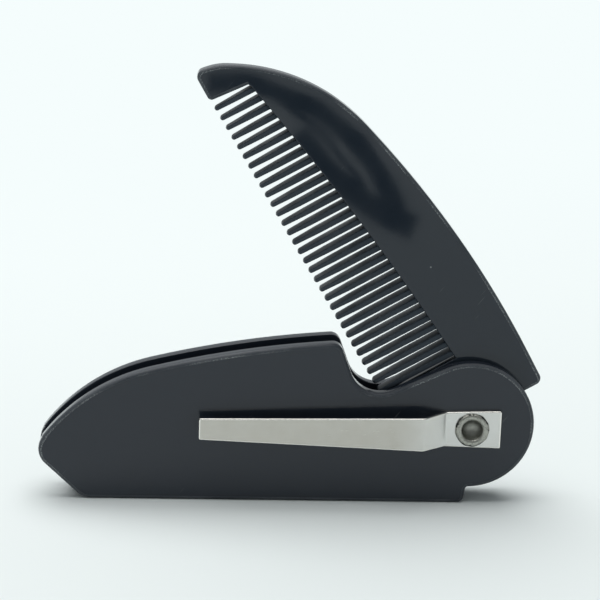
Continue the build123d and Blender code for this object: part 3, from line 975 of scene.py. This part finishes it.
def white_board(floor, backdrop):
    """Matt white board, which fades into the backdrop's glow away from the comb."""
    material, tree = new_material("Floor, matt white board")
    place = add(tree, "ShaderNodeTexCoord").outputs["Object"]
    distance = add(tree, "ShaderNodeVectorMath", {"operation": "LENGTH"}, {0: place})
    far = add(tree, "ShaderNodeMapRange", {"interpolation_type": "SMOOTHSTEP"}, {
        "Value": distance.outputs["Value"], "From Min": FLOOR_FADE[0], "From Max": FLOOR_FADE[1],
    })
    board = add(tree, "ShaderNodeBsdfDiffuse", inputs={"Color": (*floor, 1.0)})
    glow = add(tree, "ShaderNodeEmission", inputs={"Color": (*backdrop, 1.0)})
    both = add(tree, "ShaderNodeMixShader", inputs={
        "Fac": far.outputs["Result"], 1: board.outputs["BSDF"], 2: glow.outputs["Emission"],
    })
    add(tree, "ShaderNodeOutputMaterial", inputs={"Surface": both.outputs["Shader"]})
    return material


def black_paper():
    """Matt black paper, so that the cards show in the gloss as plain dark shapes."""
    material, tree = new_material("Card, matt black paper")
    black = add(tree, "ShaderNodeBsdfDiffuse", inputs={"Color": (0.02, 0.02, 0.02, 1.0)})
    add(tree, "ShaderNodeOutputMaterial", inputs={"Surface": black.outputs["BSDF"]})
    return material


def lay_floor(settings):
    """The floor, on which the handle stands."""
    bm = bmesh.new()
    bmesh.ops.create_circle(bm, cap_ends=True, radius=FLOOR_RADIUS, segments=FLOOR_STEPS)
    floor = make_object(bm, "floor", [white_board(settings.floor, settings.backdrop)])


def set_cards():
    """Dark things by the camera, which the comb's gloss shows as curved bands; only gloss sees them."""
    bm = bmesh.new()
    for right, up, radius, width, start, turn in DARK_CARDS:
        aim = Vector((cos(radians(start)), 0.0, sin(radians(start))))
        centre = Vector((right, CARDS_AT, up))
        ends = [bm.verts.new(centre + (radius + side * width / 2) * aim) for side in (-1, 1)]
        bmesh.ops.spin(
            bm, geom=[*ends, bm.edges.new(ends)], cent=centre, axis=(0.0, -1.0, 0.0),
            angle=radians(turn), steps=CARD_STEPS, use_merge=False, use_duplicate=False,
        )
    bmesh.ops.transform(bm, matrix=Matrix.Scale(MM, 4), verts=bm.verts[:])
    cards = make_object(bm, "dark_cards", [black_paper()])
    cards.visible_camera = cards.visible_diffuse = cards.visible_shadow = False
    cards.visible_transmission = cards.visible_volume_scatter = False


def light_room(settings):
    """The world: the camera sees the backdrop's colour, and light and gloss see a soft room."""
    world = bpy.data.worlds.new("Sky")
    bpy.context.scene.world = world
    world.use_nodes = True
    sky = world.node_tree
    sky.nodes.clear()
    # For lighting and gloss: a white backdrop low down at the back, a dimmer room elsewhere
    path = add(sky, "ShaderNodeLightPath")
    towards = add(sky, "ShaderNodeTexCoord").outputs["Generated"]
    parts = add(sky, "ShaderNodeSeparateXYZ", inputs={"Vector": towards})
    behind = add(sky, "ShaderNodeMapRange", {"interpolation_type": "SMOOTHSTEP"}, {
        "Value": parts.outputs["Y"], "From Min": BACKDROP_SIDE[0], "From Max": BACKDROP_SIDE[1],
    })
    low = add(sky, "ShaderNodeMapRange", {"interpolation_type": "SMOOTHSTEP"}, {
        "Value": parts.outputs["Z"], "From Min": BACKDROP_TOP[0], "From Max": BACKDROP_TOP[1],
        "To Min": 1.0, "To Max": 0.0,
    })
    sheet = add(sky, "ShaderNodeMath", {"operation": "MULTIPLY"}, {
        0: behind.outputs["Result"], 1: low.outputs["Result"],
    })
    level = add(sky, "ShaderNodeMapRange", inputs={
        "Value": sheet.outputs["Value"], "To Min": settings.room_strength,
        "To Max": settings.sky_strength,
    })
    even = add(sky, "ShaderNodeBackground", inputs={
        "Color": (*linear("#F4FAFC"), 1.0), "Strength": level.outputs["Result"],
    })
    seen = add(sky, "ShaderNodeBackground", inputs={"Color": (*settings.backdrop, 1.0)})
    mixed = add(sky, "ShaderNodeMixShader", inputs={
        "Fac": path.outputs["Is Camera Ray"], 1: even.outputs["Background"],
        2: seen.outputs["Background"],
    })
    add(sky, "ShaderNodeOutputWorld", inputs={"Surface": mixed.outputs["Shader"]})


class BEARDCOMB_OT_stage(bpy.types.Operator):
    """Set the stage: pale floor, even sky, one large soft lamp and the photograph's camera"""

    bl_idname = "beardcomb.stage"
    bl_label = "Stage"

    def execute(self, context):
        settings = context.scene.beardcomb_stage
        lay_floor(settings)
        set_cards()
        light_room(settings)
        softbox(settings.lamp_power)
        context.scene.view_settings.view_transform = "Standard"
        camera_at_photo()
        return {"FINISHED"}


# Operators in the order in which they run, with their labels
STEPS = (
    ("beardcomb.handle", "Handle"),
    ("beardcomb.comb", "Comb"),
    ("beardcomb.clip", "Pocket clip"),
    ("beardcomb.rivet", "Pivot rivet"),
    ("beardcomb.stage", "Stage"),
)


class BEARDCOMB_PT_panel(bpy.types.Panel):
    bl_label = "Folding beard comb"
    bl_idname = "BEARDCOMB_PT_panel"
    bl_space_type = "VIEW_3D"
    bl_region_type = "UI"
    bl_category = "Beard Comb"

    def draw(self, context):
        for name, label in STEPS:
            self.layout.operator(name, text=label)


SETTINGS = {
    "beardcomb_handle": HandleSettings,
    "beardcomb_comb": CombSettings,
    "beardcomb_clip": ClipSettings,
    "beardcomb_rivet": RivetSettings,
    "beardcomb_stage": StageSettings,
}
CLASSES = (
    *SETTINGS.values(), BEARDCOMB_OT_handle, BEARDCOMB_OT_comb, BEARDCOMB_OT_clip,
    BEARDCOMB_OT_rivet, BEARDCOMB_OT_stage, BEARDCOMB_PT_panel,
)


def register():
    for cls in CLASSES:
        bpy.utils.register_class(cls)
    for name, group in SETTINGS.items():
        setattr(bpy.types.Scene, name, PointerProperty(type=group))


def unregister():
    for name in SETTINGS:
        delattr(bpy.types.Scene, name)
    for cls in reversed(CLASSES):
        bpy.utils.unregister_class(cls)


def main():
    register()
    bpy.ops.beardcomb.handle()
    bpy.ops.beardcomb.comb()
    bpy.ops.beardcomb.clip()
    bpy.ops.beardcomb.rivet()
    bpy.ops.beardcomb.stage()


if __name__ == "__main__":
    main()
